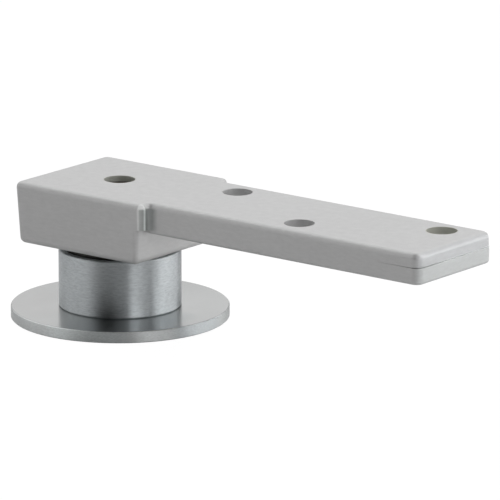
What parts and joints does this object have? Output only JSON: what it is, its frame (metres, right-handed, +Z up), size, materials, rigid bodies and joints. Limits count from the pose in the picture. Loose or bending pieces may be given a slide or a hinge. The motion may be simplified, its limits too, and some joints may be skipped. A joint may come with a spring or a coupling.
{
  "type": "floor pivot hinge",
  "caption": "Floor pivot hinge: a cast door arm that turns on a ball bearing inside a steel sleeve, above a round floor disc.",
  "frame": {"origin": "on the pivot axis, at the floor disc's underside", "axes": "+Z up the pivot axis, +X along the arm towards its free end, +Y across the arm"},
  "size_m": [0.1258, 0.0524, 0.0334],
  "materials": {
    "arm_paint": "silver grey, fine satin grain",
    "disc_steel": "satin, fine straight brushing",
    "sleeve_steel": "satin, brushed round the tube",
    "spindle_steel": "turned and ground",
    "screw_steel": "bright zinc",
    "bearing_steel": "hardened and ground",
    "bearing_balls": "polished",
    "cage_brass": "machined",
    "bronze": "sintered bronze, oiled",
    "washer_plastic": "black acetal",
    "seal_rubber": "black nitrile rubber"
  },
  "bodies": {
    "base": {"floor_disc": "disc_steel", "cover_sleeve": "sleeve_steel", "spindle": "spindle_steel", "spindle_screw": "screw_steel", "locating_pin": "screw_steel", "bearing_seat": "spindle_steel", "sleeve_grip_ring": "seal_rubber", "lower_race": "bearing_steel"},
    "cage": {"ball_cage": "cage_brass", "bearing_balls": "bearing_balls"},
    "arm": {"arm_casting": "arm_paint", "bearing_bush": "bronze", "wear_washer": "washer_plastic", "dust_seal": "seal_rubber", "upper_race": "bearing_steel"}
  },
  "joints": [
    {"name": "arm_swing", "type": "hinge", "parent": "base", "child": "arm", "pos_m": [0, 0, 0.0184], "axis": [0, 0, 1], "continuous": true},
    {"name": "cage_turn", "type": "hinge", "parent": "base", "child": "cage", "pos_m": [0, 0, 0.0133], "axis": [0, 0, 1], "continuous": true}
  ],
  "couplings": [
    {"joint": "cage_turn", "follows": "arm_swing", "ratio": 0.5}
  ]
}
